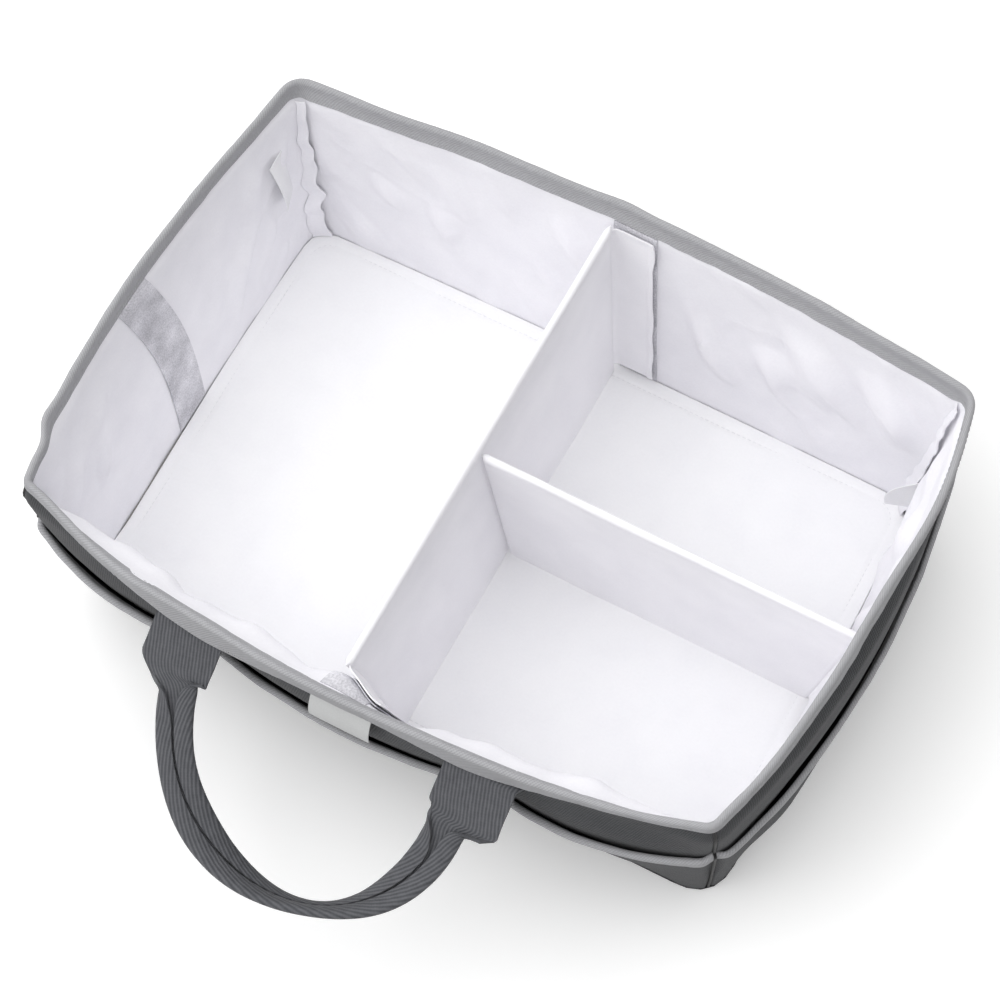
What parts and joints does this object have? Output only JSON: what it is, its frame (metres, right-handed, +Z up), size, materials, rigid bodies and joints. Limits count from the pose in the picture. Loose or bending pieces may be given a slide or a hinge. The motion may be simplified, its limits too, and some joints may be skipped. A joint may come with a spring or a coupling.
{
  "type": "diaper caddy",
  "caption": "Soft-sided open storage caddy with bound rim, outer pockets, folded webbing carry handles and a removable T-shaped padded divider insert.",
  "frame": {"origin": "middle of the underside", "axes": "+Z up, the front wall with its handle and label faces -Y, +X to the right along the long side"},
  "size_m": [0.4253, 0.4205, 0.14],
  "materials": {
    "shell_cloth": "dark grey woven polyester twill",
    "binding_tape": "light grey ribbed binding tape",
    "webbing": "dark grey ribbed webbing",
    "liner_cloth": "white plain-woven lining",
    "floor_cloth": "white plain-woven lining, padded",
    "divider_cloth": "white plain-woven cover",
    "stiff_board": "plain board",
    "loop_tape": "grey brushed loop tape",
    "hook_tape": "fine plastic hooks",
    "label_cloth": "blank white satin label"
  },
  "bodies": {
    "box": {"outer_front_panel": "shell_cloth", "front_wall_board": "stiff_board", "front_liner": "liner_cloth", "outer_right_panel": "shell_cloth", "right_wall_board": "stiff_board", "right_liner": "liner_cloth", "outer_back_panel": "shell_cloth", "back_wall_board": "stiff_board", "back_liner": "liner_cloth", "outer_left_panel": "shell_cloth", "left_wall_board": "stiff_board", "left_liner": "liner_cloth", "outer_base_panel": "shell_cloth", "base_board": "stiff_board", "floor_liner": "floor_cloth", "rim_binding": "binding_tape", "front_pocket": "shell_cloth", "front_pocket_binding": "binding_tape", "right_pocket": "shell_cloth", "right_pocket_binding": "binding_tape", "back_pocket": "shell_cloth", "back_pocket_binding": "binding_tape", "left_pocket": "shell_cloth", "left_pocket_binding": "binding_tape", "front_left_handle_tab": "webbing", "front_right_handle_tab": "webbing", "back_left_handle_tab": "webbing", "back_right_handle_tab": "webbing", "front_loop_tape": "loop_tape", "right_loop_tape": "loop_tape", "back_loop_tape": "loop_tape", "left_loop_tape": "loop_tape", "front_label": "label_cloth", "left_care_label": "label_cloth", "right_care_label": "label_cloth"},
    "front_handle": {"front_handle": "webbing"},
    "back_handle": {"back_handle": "webbing"},
    "insert": {"cross_divider_cover": "divider_cloth", "cross_divider_board": "stiff_board"},
    "half_divider": {"half_divider_cover": "divider_cloth", "half_divider_board": "stiff_board"},
    "front_flap": {"front_flap": "divider_cloth", "front_hook_tape": "hook_tape"},
    "back_flap": {"back_flap": "divider_cloth", "back_hook_tape": "hook_tape"},
    "end_flap": {"end_flap": "divider_cloth", "end_hook_tape": "hook_tape"}
  },
  "joints": [
    {"name": "front_handle_swing", "type": "hinge", "parent": "box", "child": "front_handle", "pos_m": [0.00089, -0.15, 0.1252], "axis": [-1, 0, 0], "range_deg": [-48, 104]},
    {"name": "back_handle_swing", "type": "hinge", "parent": "box", "child": "back_handle", "pos_m": [0.00805, 0.14442, 0.1252], "axis": [1, 0, 0], "range_deg": [0, 147]},
    {"name": "insert_lift", "type": "slide", "parent": "box", "child": "insert", "axis": [0, 0, 1], "range_m": [0, 0.25]},
    {"name": "half_divider_swing", "type": "hinge", "parent": "insert", "child": "half_divider", "pos_m": [0.0098, -0.0045, 0.06], "axis": [0, 0, 1], "range_deg": [-25, 25]},
    {"name": "front_flap_peel", "type": "hinge", "parent": "insert", "child": "front_flap", "pos_m": [0.0081, -0.11778, 0.0106], "axis": [-0.0542, -0.2026, 0.9778], "range_deg": [0, 80]},
    {"name": "back_flap_peel", "type": "hinge", "parent": "insert", "child": "back_flap", "pos_m": [0.00811, 0.11718, 0.0106], "axis": [0.0548, -0.1485, -0.9874], "range_deg": [0, 80]},
    {"name": "end_flap_peel", "type": "hinge", "parent": "half_divider", "child": "end_flap", "pos_m": [0.18399, -0.00736, 0.0106], "axis": [-0.1942, 0.0012, -0.981], "range_deg": [0, 80]}
  ]
}
